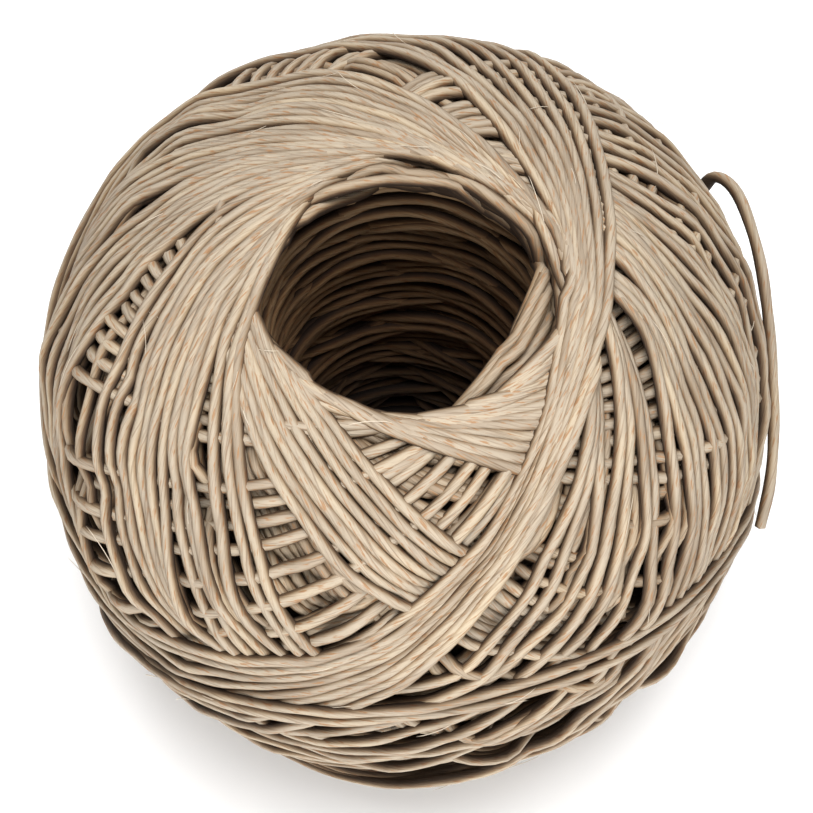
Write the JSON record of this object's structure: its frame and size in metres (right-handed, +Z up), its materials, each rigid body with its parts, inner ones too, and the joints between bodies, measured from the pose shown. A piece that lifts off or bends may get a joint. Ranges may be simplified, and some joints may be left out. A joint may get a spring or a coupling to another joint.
{
  "type": "ball of string",
  "caption": "Ball of natural undyed string wound round a tapered hollow middle, standing on one flat end, with its loose outer end lying down one side.",
  "frame": {"origin": "middle of the ball's box on the surface that it rests on, below the hole's axis", "axes": "+Z up along the hole, which runs right through; +X towards the loose end; -Y the side that shows below the mouth when seen from above the front"},
  "size_m": [0.0868, 0.084, 0.0759],
  "materials": {
    "natural_string": "matt, slightly polished undyed plant fibre"
  },
  "bodies": {
    "root": {"wound_ball": "natural_string", "loose_end": "natural_string"}
  },
  "joints": []
}
